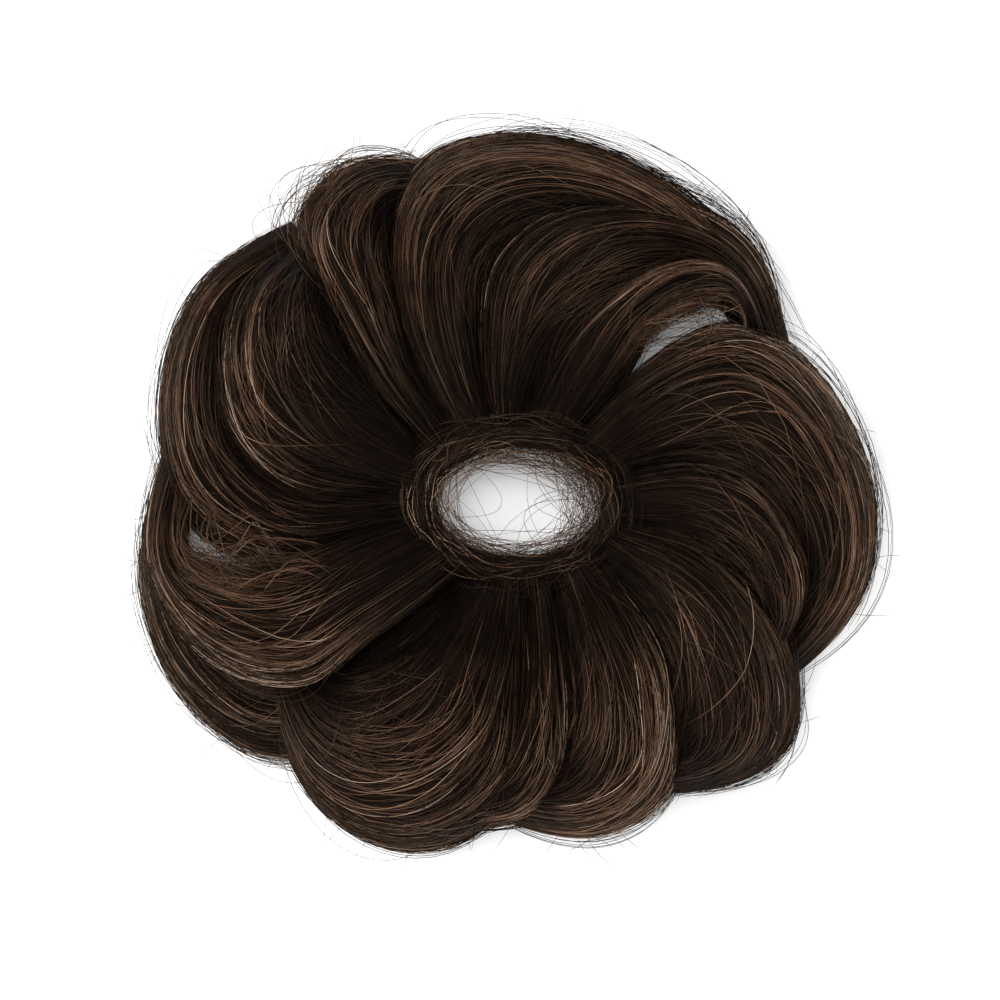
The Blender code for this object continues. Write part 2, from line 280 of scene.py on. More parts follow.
# %% [markdown]
# ## The fibre
# The real fibre is a fine plastic thread, drawn out and dyed, with a satin skin. Light
# runs along it in a narrow band, which a round tube gives without help. Each point of a
# hair carries a tone from 0, nearly black, to 1, a pale brown, and the ramp turns the
# tone into colour. A low tone also stands for hair in the shade of its neighbours, so
# it shines less. The reflection is tinted, because light that enters a brown fibre
# comes back brown.

# %% Material: drawn brown hair fibre
FIBRE_IOR = 1.55
FIBRE_COLOURS = ((0.0, "#0a0706"), (0.35, "#1e1510"), (0.60, "#473123"), (0.85, "#7c5e49"),
                 (1.0, "#b89f88"))
SMOOTHEST, ROUGHEST = 0.29, 0.41
DIMMEST, SHINIEST = 0.06, 0.42
SHINIEST_FROM = 0.6  # the tone that has the full shine
MOTTLE_MM = 6.0
MOTTLE_TONE = 0.07
MOTTLE_RANGE = {"From Min": 0.3, "From Max": 0.7}  # where most of the noise lies


def brown_fibre():
    """Single hairs: colour and shine from the hair's own tone, with a slow drift of colour along it."""
    made, tree, shader = new_material("drawn_brown_hair_fibre")
    tone = add(tree, "ShaderNodeAttribute", {"attribute_name": "tone"})
    place = add(tree, "ShaderNodeTexCoord")
    mottle = add(tree, "ShaderNodeTexNoise", {"Scale": 1 / (MOTTLE_MM * MM), "Detail": 2.0},
                 Vector=place.outputs["Object"])
    spread = add(tree, "ShaderNodeMapRange",
                 {**MOTTLE_RANGE, "To Min": -MOTTLE_TONE, "To Max": MOTTLE_TONE},
                 Value=mottle.outputs["Fac"])
    total = add(tree, "ShaderNodeMath", {"operation": "ADD"})
    tree.links.new(tone.outputs["Fac"], total.inputs[0])
    tree.links.new(spread.outputs["Result"], total.inputs[1])
    ramp = add(tree, "ShaderNodeValToRGB", Fac=total.outputs["Value"])
    set_ramp(ramp, *FIBRE_COLOURS)
    tree.links.new(ramp.outputs["Color"], shader.inputs["Base Color"])
    rough = add(tree, "ShaderNodeMapRange", {**MOTTLE_RANGE, "To Min": SMOOTHEST, "To Max": ROUGHEST},
                Value=mottle.outputs["Fac"])
    tree.links.new(rough.outputs["Result"], shader.inputs["Roughness"])
    shine = add(tree, "ShaderNodeMapRange",
                {"From Max": SHINIEST_FROM, "To Min": DIMMEST, "To Max": SHINIEST},
                Value=tone.outputs["Fac"])
    tree.links.new(shine.outputs["Result"], shader.inputs["Specular IOR Level"])
    shader.inputs["IOR"].default_value = FIBRE_IOR
    shader.inputs["Specular Tint"].default_value = linear("#e8c8aa")
    return made


FIBRE = brown_fibre()
print("material:", FIBRE.name)

# %% [markdown]
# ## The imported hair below
# Between the top hairs the eye sees only more hair in shade. A body of packed hair
# needs no single strands: fine streaks along the flow, in colour and in bump, are
# enough. It is rougher than a single fibre and hardly shines, because the light that
# gets in between hairs rarely comes out again. The streaks use a map laid along the
# curl in millimetres, so they are as fine on every curl. A streak is about three hairs
# wide, because finer ones don't show at this size.

# %% Material: packed hair in shade
STREAK_MM = 0.35
STREAK_LONG_MM = 40.0
STREAK_DEEP_MM = 0.25
PACKED_ROUGHNESS = 0.75
PACKED_SHINE = 0.05


def streaked_fibre(name, dark, light):
    """Streaks along the V direction of the map FlowMM, whose unit is a millimetre."""
    made, tree, shader = new_material(name)
    flow = add(tree, "ShaderNodeUVMap", {"uv_map": "FlowMM"})
    scaled = add(tree, "ShaderNodeMapping", {"Scale": (1 / STREAK_MM, 1 / STREAK_LONG_MM, 1.0)},
                 Vector=flow.outputs["UV"])
    streaks = add(tree, "ShaderNodeTexNoise", {"Scale": 1.0, "Detail": 3.0, "Roughness": 0.6},
                  Vector=scaled.outputs["Vector"])
    ramp = add(tree, "ShaderNodeValToRGB", Fac=streaks.outputs["Fac"])
    set_ramp(ramp, (0.35, dark), (0.68, light))
    bump = add(tree, "ShaderNodeBump", {"Strength": 0.7, "Distance": STREAK_DEEP_MM * MM},
               Height=streaks.outputs["Fac"])
    tree.links.new(ramp.outputs["Color"], shader.inputs["Base Color"])
    tree.links.new(bump.outputs["Normal"], shader.inputs["Normal"])
    shader.inputs["Roughness"].default_value = PACKED_ROUGHNESS
    shader.inputs["IOR"].default_value = FIBRE_IOR
    shader.inputs["Specular IOR Level"].default_value = PACKED_SHINE
    shader.inputs["Specular Tint"].default_value = linear("#d8b498")
    return made


PACKED = streaked_fibre("packed_brown_hair", "#060404", "#1b130e")
print("material:", PACKED.name)

# %% [markdown]
# ## Tubes for hairs
# A hair is a closed tube with three sides and a fine tip at each end. At a tenth of a
# millimetre three sides look round, and smooth normals do the rest. All the hairs of
# one curl are built at once with arrays, because a million triangles made one by one
# would take minutes. Each hair gets its own cell in a map, so that a baked copy of the
# model keeps each hair's own colour.

# %% Many hairs as one mesh
SIDES = 3
HAIR_POINTS = 20
TAPER = ((0.0, 0.08, 0.9, 1.0), (0.35, 1.0, 1.0, 0.3))  # share of the length, share of the radius
MAP_COLUMNS = 4
CELL_MARGIN = 0.12  # empty room round a hair in its cell, as a share of the cell


def turning_frames(paths):
    """Two unit vectors across each path at each point, carried along without twisting.

    The two tiny numbers keep a path that stands still or upright from a length of zero.
    """
    forward = np.gradient(paths, axis=1)
    forward /= np.linalg.norm(forward, axis=2, keepdims=True) + 1e-12
    start = np.cross(forward[:, 0], (0.0, 0.0, 1.0)) + 1e-6
    across = np.empty_like(paths)
    across[:, 0] = start / np.linalg.norm(start, axis=1, keepdims=True)
    for k in range(1, paths.shape[1]):
        moved = across[:, k - 1] - forward[:, k] * (across[:, k - 1] * forward[:, k]).sum(1, keepdims=True)
        across[:, k] = moved / np.linalg.norm(moved, axis=1, keepdims=True)
    return across, np.cross(forward, across)


def fill_mesh(mesh, points, faces3, faces4):
    """Fills a mesh from points and from arrays of three-cornered and four-cornered faces."""
    mesh.vertices.add(len(points))
    mesh.vertices.foreach_set("co", points.ravel())
    mesh.loops.add(faces3.size + faces4.size)
    corners = np.concatenate([faces3.ravel(), faces4.ravel()])
    mesh.loops.foreach_set("vertex_index", corners.astype(np.int32))
    starts = np.concatenate([np.arange(len(faces3)) * 3, faces3.size + np.arange(len(faces4)) * 4])
    mesh.polygons.add(len(starts))
    mesh.polygons.foreach_set("loop_start", starts.astype(np.int32))
    mesh.polygons.foreach_set("use_smooth", np.ones(len(starts), bool))
    mesh.update(calc_edges=True)


def hair_object(name, paths, radii, tones):
    """One object of closed tubes along paths (hairs, points, xyz), each with its radius and its tones."""
    count, length, _ = paths.shape
    across, above = turning_frames(paths)
    taper = np.interp(np.linspace(0, 1, length), *TAPER)
    around = np.arange(SIDES) * 2 * math.pi / SIDES
    thick = (radii[:, None] * taper)[:, :, None, None]
    rings = paths[:, :, None] + thick * (np.cos(around)[:, None] * across[:, :, None]
                                         + np.sin(around)[:, None] * above[:, :, None])
    index = np.arange(count * length * SIDES).reshape(count, length, SIDES)
    after = np.roll(index, -1, axis=2)
    walls = np.stack([index[:, :-1], after[:, :-1], after[:, 1:], index[:, 1:]], -1).reshape(-1, 4)
    ends = np.concatenate([index[:, 0, ::-1], index[:, -1]])
    mesh = bpy.data.meshes.new(name)
    fill_mesh(mesh, rings.reshape(-1, 3), ends, walls)

    rows = math.ceil(count / MAP_COLUMNS)
    cell = np.arange(count)
    left, low = (cell % MAP_COLUMNS) / MAP_COLUMNS, (cell // MAP_COLUMNS) / rows
    along = CELL_MARGIN + (1 - 2 * CELL_MARGIN) * np.linspace(0, 1, length)
    up = CELL_MARGIN + (1 - 2 * CELL_MARGIN) * np.arange(SIDES + 1) / SIDES
    grid = np.empty((count, length, SIDES + 1, 2))
    grid[..., 0] = left[:, None, None] + along[:, None] / MAP_COLUMNS
    grid[..., 1] = low[:, None, None] + up / rows
    corners = np.stack([grid[:, :-1, :-1], grid[:, :-1, 1:], grid[:, 1:, 1:], grid[:, 1:, :-1]], 3)
    caps = np.concatenate([grid[:, 0, SIDES - 1::-1], grid[:, -1, :SIDES]])
    layer = mesh.uv_layers.new(name="OFBake")
    layer.uv.foreach_set("vector", np.concatenate([caps.ravel(), corners.ravel()]).astype(np.float32))
    tone = mesh.attributes.new("tone", "FLOAT", "POINT")
    tones = np.broadcast_to(tones.reshape(count, -1), (count, length))
    tone.data.foreach_set("value", np.repeat(tones, SIDES).astype(np.float32))
    mesh.materials.append(FIBRE)
    made = bpy.data.objects.new(name, mesh)
    bpy.context.scene.collection.objects.link(made)
    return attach(made, "root")


# %% [markdown]
# ## The body of each curl
# The body repeats the model's arch a little below its skin, in fine sections. It is
# closed, hollow below like the real curl, and it takes the place of the model's plain
# solid. A map in millimetres runs along it, for the streaks.


# %% A tube of sections with its two maps
# Where the walls and the two caps lie in the map for baking: size, then corner.
WALLS_CELL = np.array([(0.94, 0.98), (0.01, 0.01)])
ROOT_CELL = np.array([(0.03, 0.45), (0.96, 0.01)])
TIP_CELL = np.array([(0.03, 0.45), (0.96, 0.50)])


def band_object(name, grid, round_mm, long_mm, looped, look, node):
    """A closed band from a grid of points (sections, points round, xyz), in place of one node.

    A looped band joins its last section to its first. Any other gets a cap at each
    end, a strip of faces between the first half of the section and the second.
    """
    sections, round_count, _ = grid.shape
    index = np.arange(sections * round_count).reshape(sections, round_count)
    rows = np.vstack([index, index[:1]]) if looped else index
    after = np.roll(rows, -1, axis=1)
    faces = np.stack([rows[:-1], after[:-1], after[1:], rows[1:]], -1).reshape(-1, 4)
    steps = len(rows) - 1
    v, u = np.meshgrid(np.arange(steps), np.arange(round_count), indexing="ij")
    corner = np.stack([np.stack([u, u + 1, u + 1, u], -1), np.stack([v, v, v + 1, v + 1], -1)], -1)
    corner = corner.reshape(-1, 4, 2) / (round_count, steps)
    flow = corner * (round_mm, long_mm)
    bake = corner * WALLS_CELL[0] + WALLS_CELL[1]
    if not looped:
        half = round_count // 2
        one, other = np.arange(half - 1), np.arange(round_count - 1, half, -1)
        root = np.stack([index[0][one + 1], index[0][one], index[0][other], index[0][other - 1]], -1)
        tip = np.stack([index[-1][one], index[-1][one + 1], index[-1][other - 1], index[-1][other]], -1)
        faces = np.vstack([faces, root, tip])
        square = np.array([(0, 0), (0, 1), (1, 1), (1, 0)], float)
        strip = (one[:, None, None] * (0.0, 1.0) + square) / (1, half - 1)
        bake = np.vstack([bake, *(strip * size + place for size, place in (ROOT_CELL, TIP_CELL))])
        flow = np.vstack([flow, strip * round_mm / 2, strip * round_mm / 2])
    mesh = bpy.data.meshes.new(name)
    fill_mesh(mesh, grid.reshape(-1, 3), np.empty((0, 3), int), faces)
    for title, values in (("OFBake", bake), ("FlowMM", flow)):
        layer = mesh.uv_layers.new(name=title)
        layer.uv.foreach_set("vector", values.ravel().astype(np.float32))
    mesh.materials.append(look)
    made = bpy.data.objects.new(name, mesh)
    bpy.context.scene.collection.objects.link(made)
    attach(made, "root")
    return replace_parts(made, node)


# %% Bodies of packed hair
BODY_STATIONS = 40
BODY_POINTS = 24
BODY_BELOW = 1.5 * MM


def curl_body(shape):
    """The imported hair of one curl, in place of the model's solid."""
    length, over = measure(shape)
    top = np.linspace(-math.pi / 2, math.pi / 2, BODY_POINTS)
    turn = np.concatenate([top, top[::-1]])
    below = BODY_BELOW * np.sqrt(np.maximum(np.cos(top), 0))
    inward = np.concatenate([below, np.full(BODY_POINTS, shape.thick)])
    s = np.linspace(0, 1, BODY_STATIONS)
    s, turn, inward = np.broadcast_arrays(s[:, None], turn[None], inward[None])
    return band_object(shape.name, arch(shape, s, turn, inward), 2 * over / MM, length / MM,
                       False, PACKED, shape.name)


bodies = [curl_body(shape) for shape in CURLS]
print("bodies:", len(bodies), "faces:", sum(len(made.data.polygons) for made in bodies))

# %% [markdown]
# ## Hair laid on the curls
# Hairs do not lie evenly. They gather into locks, with dark seams between, and the
# locks drift along the curl. Each hair has a lane across the arch. It is pulled
# towards the middle of its lock, stands a little proud there, sways with its
# neighbours, and has a small wander of its own. Small wisps leave their lock together,
# and single loose hairs cross the rest at a slant. A long hair runs from the wound band
# to the curl's tip. A short one starts and ends among the others.

# %% How the hair lies
HAIRS_ON_CURLS = 6250
HAIR_RADIUS = (0.042 * MM, 0.080 * MM)
LOCK_MM = 4.5  # how wide a lock is
LOCK_SHIFT = 0.6  # how unevenly the locks are spaced, as a share of their width
LOCK_PULL = (0.2, 0.6)  # how strongly a hair is pulled to the middle of its lock
LOCK_PROUD = 0.9 * MM  # how far the middle of a lock stands up
PROUD_SHARES = (0.3, 1.0)  # how much of that each hair takes
LAYER_DEEP = 1.4 * MM  # how deep the hairs of a lock are spread
ON_FLOOR = 0.1 * MM  # the lowest that a hair may lie
WHOLE_SHARE = 0.38  # the hairs that run the whole curl
LOOSE_SHARE = 0.14  # the hairs that left their lock
LOOSE_LIFT = (0.3 * MM, 2.2 * MM)
WISP_SHARE = 0.6  # the loose hairs that go in wisps
WISP_HAIRS = 6
WISP_WIDE = 0.05

# Sideways drifts. A hair's place runs from -1 at the inner hem to 1 at the outer one.
SWAY = 0.08
SWAY_WAVES = ((0.7, 0.6), (1.6, 1.1), (3.1, 1.7))  # waves across the curl and along it
CALM_WANDER, RESTLESS_WANDER = 0.035, 0.10
RESTLESS_SHARE = 0.4
WISP_WANDER, SINGLE_WANDER = 0.24, 0.22
SLANTED_SHARE, MOST_SLANT = 0.6, 1.5
OUTERMOST = 0.99  # no hair lies beyond this place


# %% Smooth drifts
def sway(rng, lane, s, size):
    """A smooth sideways drift that neighbouring hairs share."""
    total = np.zeros_like(s)
    for across, along in SWAY_WAVES:
        phase = rng.uniform(0, 2 * math.pi)
        total += np.sin(2 * math.pi * (across * lane[:, None] + along * s) + phase) / (1 + across)
    return size * total


def wander(rng, count, s, size, group=1):
    """A slow drift in sine waves of falling size, for each hair alone or shared by a group of them."""
    owner = np.arange(count) // group
    total = np.zeros_like(s)
    for wave in (1, 2, 3):
        height = rng.normal(0, 1 / wave, count)[owner][:, None]
        shift = rng.uniform(0, 2 * math.pi, count)[owner][:, None]
        total += height * np.sin(math.pi * wave * s + shift)
    return size * total


# %% [markdown]
# ## Where the hair meets the ring
# The real hair is caught by the elastic, loops round it and fans out. So the first
# points of a long hair run along the wound band. All hair near the band is raised, so
# that it leaves the band from its top in a soft curve. Without that, the hairs would
# stand in the band's side like pins in a cushion.

# %% Hair at the wound band
ROOT_POINTS = 5  # the points of a hair that lie on the band
LOOP_TURN = (0.25, 1.1)  # how far they run round the band, in radians
LOOP_WAYS = (-1, 1, 1)  # two hairs in three come from the anticlockwise side
LOOP_EASE = 1.5  # above 1, the loop runs into the curl in a soft bend
BAND_TOP = 16.4 * MM
BAND_LIFT_MM = (-0.3, 0.9)  # how far above that the hairs lie
BAND_FALL = 0.6  # how much the band's top falls towards the opening
FILLET_WIDE = 9.0 * MM  # how far from the band the hair still bends up to it
FILLET_SOFT = 1.5 * MM


def round_the_ring(paths, rng):
    """Bends the first points of each path along the wound band, as hair that loops round the elastic."""
    count = len(paths)
    root = paths[:, ROOT_POINTS]
    angle = np.arctan2((root[:, 1] - RING_Y) / HOLE_HALF_SHORT, (root[:, 0] - RING_X) / HOLE_HALF_LONG)
    bend = rng.uniform(*LOOP_TURN, count) * rng.choice(LOOP_WAYS, count)
    back = np.linspace(1, 0, ROOT_POINTS + 1)[None, :-1]
    turn = angle[:, None] + bend[:, None] * back**LOOP_EASE
    reach = rng.uniform(0.0, 1.0, count)[:, None] * back
    x, y = oval(turn, WRAP_WIDTH * (0.5 - 0.5 * reach))
    edge_x, edge_y = oval(angle, WRAP_WIDTH * 0.5)
    paths[:, :ROOT_POINTS, 0] = x + ((root[:, 0] - edge_x)[:, None]) * (1 - back)
    paths[:, :ROOT_POINTS, 1] = y + ((root[:, 1] - edge_y)[:, None]) * (1 - back)
    paths[:, :ROOT_POINTS, 2] = root[:, 2:]


def over_the_band(paths, lift):
    """Raises hair near the ring to the top of the wound band. lift is each hair's own height above it."""
    x, y = paths[..., 0] - RING_X, paths[..., 1] - RING_Y
    reach = np.hypot(x, y)
    edge = HOLE_HALF_LONG * HOLE_HALF_SHORT * reach / np.hypot(HOLE_HALF_SHORT * x, HOLE_HALF_LONG * y)
    half = WRAP_WIDTH / 2
    outside = np.clip((reach - edge - half) / FILLET_WIDE, 0, 1)
    inside = np.clip((half - reach + edge) / half, 0, 1)
    wanted = (BAND_TOP + lift) * (1 - outside**2 * (3 - 2 * outside)) * np.sqrt(1 - BAND_FALL * inside**2)
    above = paths[..., 2] - wanted
    paths[..., 2] = wanted + 0.5 * (above + np.hypot(above, FILLET_SOFT))


# %% [markdown]
# ## Tones and shade
# The real curls are not one brown. Each lock has its own tone, and broad patches of each
# curl are paler or darker. Light and shade are painted into the tone as well: a painted
# highlight makes half of the short hairs paler, as hairs that catch the light, painted
# light makes the outer side and some whole curls paler, and painted shade darkens the
# roots, the inner side, the hollow before the tip and the tip itself. Real hair is packed
# there far more closely than these tubes are, so it loses light that would still get in
# between them.

# %% Tones
LOCK_TONE = (0.36, 0.06)  # mean and spread
HAIR_SPREAD = 0.12
PALE_SHARE, PALE_TONES = 0.02, (0.6, 0.8)
DARK_SHARE, DARK_TONES = 0.20, (0.0, 0.15)
# Painted highlight: a share of the hairs gets a paler tone, as hairs that catch the light.
BRIGHT_SHARE = 0.52  # of the hairs that don't start on the band
PAINTED_HIGHLIGHT_TONE, OTHER_TONE, SINGLE_TONE = 0.21, -0.05, 0.09
BRIGHT_PROUD = 0.35 * MM
BRIGHT_DEEP, BRIGHT_THICKER = 0.3, 1.2  # their share of the layer's depth, and of a usual radius
PATCH_WAVES = 4
PATCH_TONE = 0.075
PATCH_ACROSS, PATCH_ALONG = (0.3, 1.0), (0.5, 1.6)  # waves across the curl and along it
# Painted light and shade: how much paler a curl is than the rest, as the light falls on it.
PAINTED_LIGHT_BY_CURL = {"curl_lower_left": 0.19, "curl_lower_left_under": 0.09, "curl_bottom": 0.10, "curl_top_back": 0.11,
         "curl_left_rim": 0.08, "curl_top_left": 0.07, "curl_right": 0.09, "curl_lower_mid": 0.21,
         "curl_lower_right": 0.02, "curl_bottom_side": 0.14, "curl_top_front": 0.04, "curl_left": -0.02,
         "curl_right_inner": 0.08}


def hair_tones(rng, lock_tone):
    """A tone for each hair: its lock's, a change of its own, and a few pale or nearly black ones."""
    count = len(lock_tone)
    tone = lock_tone + rng.normal(0, HAIR_SPREAD, count)
    odd = rng.uniform(0, 1, count)
    tone = np.where(odd < PALE_SHARE, rng.uniform(*PALE_TONES, count), tone)
    tone = np.where(odd > 1 - DARK_SHARE, rng.uniform(*DARK_TONES, count), tone)
    return np.clip(tone, 0.0, 1.0)


def patches(rng, place, s):
    """Broad darker and paler areas of a curl."""
    total = np.zeros_like(s)
    for _ in range(PATCH_WAVES):
        across, along = rng.uniform(*PATCH_ACROSS), rng.uniform(*PATCH_ALONG)
        phase = rng.uniform(0, 2 * math.pi)
        total += np.sin(2 * math.pi * (across * place + along * s) + phase)
    return PATCH_TONE * total / math.sqrt(PATCH_WAVES)


# %% Shade
ROOT_DARK_FROM, ROOT_DARK_LONG = 0.02, 0.36  # where the shade of the roots starts to fade, and how slowly
ROOT_SHADE = 0.22  # how much of its tone a hair keeps at the root
PALE_ROOTS, PALE_ROOT_SHADE = 0.15, 0.9  # the share of hairs that keep more, and how much
# Painted shade on the inner side, and painted light that makes the outer side paler than its tone.
ACROSS_LIGHT_AND_SHADE = ((-1.0, -0.55, -0.1, 0.5, 0.9), (0.35, 0.72, 1.0, 1.08, 1.42))  # inner side to outer side
TIP_SHADE = ((0.8, 1.0), (1.0, 0.5))
HOLLOW_DEEP = 0.65
HOLLOW_ALONG, HOLLOW_LONG = 0.78, 0.16
HOLLOW_ACROSS, HOLLOW_WIDE = -0.65, 0.42


def shade_at(rng, place, s):
    """How much of its tone a hair keeps at each point, from where it lies on the curl: painted shade, and
    painted light on the outer side.
    """
    count = len(s)
    rise = np.clip((s - ROOT_DARK_FROM) / ROOT_DARK_LONG, 0.0, 1.0)
    root = np.where(rng.uniform(0, 1, count) < PALE_ROOTS, PALE_ROOT_SHADE, ROOT_SHADE)[:, None]
    shade = root + (1 - root) * rise * rise * (3 - 2 * rise)
    shade = shade * np.interp(place, *ACROSS_LIGHT_AND_SHADE) * np.interp(s, *TIP_SHADE)
    along = (s - HOLLOW_ALONG) / HOLLOW_LONG
    across = (place - HOLLOW_ACROSS) / HOLLOW_WIDE
    return shade * (1 - HOLLOW_DEEP * np.exp(-(along**2) - across**2))


# %% Which part of the curl each hair covers
ROOTED_TO = 0.04  # a hair that starts before this share of the curl is rooted in the band
WHOLE_ENDS = (0.95, 1.0)
SHORT_BEGINS, SHORT_LONG = (0.05, 0.66), (0.3, 0.5)


def stretches(count, rng):
    """Where each hair starts and ends: shares of the curl, shares of the hair, and which are rooted."""
    whole = rng.uniform(0, 1, count) < WHOLE_SHARE
    begin = np.where(whole, rng.uniform(0, ROOTED_TO, count), rng.uniform(*SHORT_BEGINS, count))
    end = np.where(whole, rng.uniform(*WHOLE_ENDS, count), begin + rng.uniform(*SHORT_LONG, count))
    end = np.minimum(end, 1.0)
    rooted = begin < ROOTED_TO
    share = np.linspace(0, 1, HAIR_POINTS)[None].repeat(count, 0)
    share[rooted] = np.concatenate([np.zeros(ROOT_POINTS), np.linspace(0, 1, HAIR_POINTS - ROOT_POINTS)])
    return begin[:, None] + (end - begin)[:, None] * share, share, rooted


# %% The hairs of one curl
def laid_hairs(shape, count, rng):
    """Hairs over one curl, root to tip: paths, radii and tones."""
    _, over = measure(shape)
    lane = rng.uniform(-1, 1, count)
    loose = np.arange(count) < LOOSE_SHARE * count
    single = loose & (np.arange(count) > WISP_SHARE * LOOSE_SHARE * count)
    wisp = loose & ~single
    owner = np.arange(count) // WISP_HAIRS * WISP_HAIRS
    lane = np.where(wisp, lane[owner] + rng.normal(0, WISP_WIDE, count), lane)
    locks = max(3, round(over / (LOCK_MM * MM)))
    middles = np.linspace(-1, 1, locks) + rng.uniform(-LOCK_SHIFT, LOCK_SHIFT, locks) / locks
    mine = np.abs(lane[:, None] - middles).argmin(1)
    off = np.clip((lane - middles[mine]) * locks, -1, 1)
    s, share, rooted = stretches(count, rng)

    pull = np.where(loose, 0.0, rng.uniform(*LOCK_PULL, count))[:, None]
    pull = pull * np.sqrt(np.sin(math.pi * np.clip(s, 0, 1)))
    place = lane[:, None] - pull * off[:, None] / locks + sway(rng, lane, s, SWAY)
    restless = rng.uniform(0, 1, count) < RESTLESS_SHARE
    place = place + wander(rng, count, s, 1.0) * np.where(restless, RESTLESS_WANDER, CALM_WANDER)[:, None]
    place = place + np.where(wisp[:, None], wander(rng, count, s, WISP_WANDER, WISP_HAIRS), 0.0)
    place = place + np.where(single[:, None], wander(rng, count, s, SINGLE_WANDER), 0.0)
    slanted = single & (rng.uniform(0, 1, count) < SLANTED_SHARE)
    slant = np.where(slanted, rng.uniform(-MOST_SLANT, MOST_SLANT, count), 0.0)
    place = place + slant[:, None] * (share - 0.5)

    bright = (rng.uniform(0, 1, count) < BRIGHT_SHARE) & ~rooted
    proud = LOCK_PROUD * (1 - off**2) * rng.uniform(*PROUD_SHARES, count)
    proud = proud + np.where(bright, BRIGHT_PROUD, 0.0)
    lift = np.where(loose, rng.uniform(*LOOSE_LIFT, count), 0.0)[:, None] * np.sin(math.pi * share)
    deep = rng.uniform(0, 1, count) * np.where(bright, BRIGHT_DEEP, 1.0) * LAYER_DEEP
    turn = np.clip(place, -OUTERMOST, OUTERMOST) * math.pi / 2
    paths = arch(shape, s, turn, (deep - proud)[:, None] - lift)
    some = paths[rooted]
    round_the_ring(some, rng)
    paths[rooted] = some
    over_the_band(paths, rng.uniform(*BAND_LIFT_MM, count)[:, None] * MM)
    paths[..., 2] = np.maximum(paths[..., 2], ON_FLOOR)

    tones = hair_tones(rng, rng.normal(*LOCK_TONE, locks)[mine] + PAINTED_LIGHT_BY_CURL.get(shape.name, 0.0))
    # Painted highlight on the bright hairs, and a slightly darker tone on the rest.
    tones = tones + np.where(bright, PAINTED_HIGHLIGHT_TONE, OTHER_TONE) + np.where(single, SINGLE_TONE, 0.0)
    shade = shade_at(rng, place, s)
    radii = rng.uniform(*HAIR_RADIUS, count) * np.where(bright, BRIGHT_THICKER, 1.0)
    return paths, radii, np.maximum(tones[:, None] + patches(rng, place, s), 0.0) * shade


# %% Lay the hair
areas = np.array([np.prod(measure(shape)) for shape in CURLS])
counts = np.round(HAIRS_ON_CURLS * areas / areas.sum()).astype(int)
for number, (shape, count) in enumerate(zip(CURLS, counts)):
    hair_object(shape.name + "_hairs", *laid_hairs(shape, int(count), np.random.default_rng([11, number])))
print("hairs on curls:", counts.sum())

# %% [markdown]
# ## The wound ring and its elastic
# Hair is wound round the elastic and hides it but for a glimpse inside the opening. The
# bodies are closed bands round the oval, and a groove inside the wound band holds the
# elastic. The elastic is covered with spun yarn of a warmer brown, laid along it, so
# that its glimpse reads as cloth beside the hair. The hairs over the wound band run
# round the opening and slowly climb or sink as they go. Most are nearly black and a few
# are pale, and the pale ones let the eye follow the winding.

# %% Bands round the oval
RING_STEPS = 96
COVERED = streaked_fibre("covered_elastic", "#24160e", "#563822")
print("material:", COVERED.name)


def ring_grid(profile):
    """Sections round the oval from a profile of (out from the hole's edge, height)."""
    turns = np.arange(RING_STEPS) * 2 * math.pi / RING_STEPS
    grid = np.empty((RING_STEPS, len(profile), 3))
    for j, (out, up) in enumerate(profile):
        x, y = oval(turns, out)
        grid[:, j] = np.stack([x, y, np.full(RING_STEPS, up)], -1)
    return grid[:, ::-1]


def rounded(middle_out, middle_up, half_out, half_up, points):
    """A rounded section as (out, up) pairs."""
    angles = np.arange(points) * 2 * math.pi / points
    return [(middle_out + half_out * math.cos(a), middle_up + half_up * math.sin(a)) for a in angles]


RING_LONG_MM = 2 * math.pi * math.hypot(HOLE_HALF_LONG, HOLE_HALF_SHORT) / math.sqrt(2) / MM
WRAP_ROUND_MM, ELASTIC_ROUND_MM = 50.0, 11.0
ELASTIC_POINTS = 12
INNER_FACE = 1.3 * MM
FOOT = [(INNER_FACE, 2.2 * MM), (1.9 * MM, 0.2 * MM)]
DOME = ((0.76, 0.01), (0.93, 0.12), (0.96, 0.45), (0.91, 0.78), (0.73, 0.90), (0.5, 0.92), (0.34, 0.88),
        (0.22, 0.78))  # shares of the wound hair's width and height
low, high = ELASTIC_MIDDLE - ELASTIC_HEIGHT / 2 - GAP, ELASTIC_MIDDLE + ELASTIC_HEIGHT / 2 + GAP
deep = ELASTIC_WIDTH + 2 * GAP
dome = [(WRAP_WIDTH * out, WRAP_HEIGHT * up) for out, up in DOME]
groove = [(INNER_FACE, high), (deep, high), (deep, low), (INNER_FACE, low)]
band_object("band_wrap", ring_grid(dome + groove + FOOT), WRAP_ROUND_MM, RING_LONG_MM, True, PACKED,
            "band_wrap")
half_wide, half_high = ELASTIC_WIDTH / 2, ELASTIC_HEIGHT / 2
elastic_profile = rounded(GAP + half_wide, ELASTIC_MIDDLE, half_wide, half_high, ELASTIC_POINTS)
band_object("elastic_band", ring_grid(elastic_profile), ELASTIC_ROUND_MM, RING_LONG_MM, True, COVERED,
            "elastic_band")
print("length round the ring in mm:", round(RING_LONG_MM, 1))

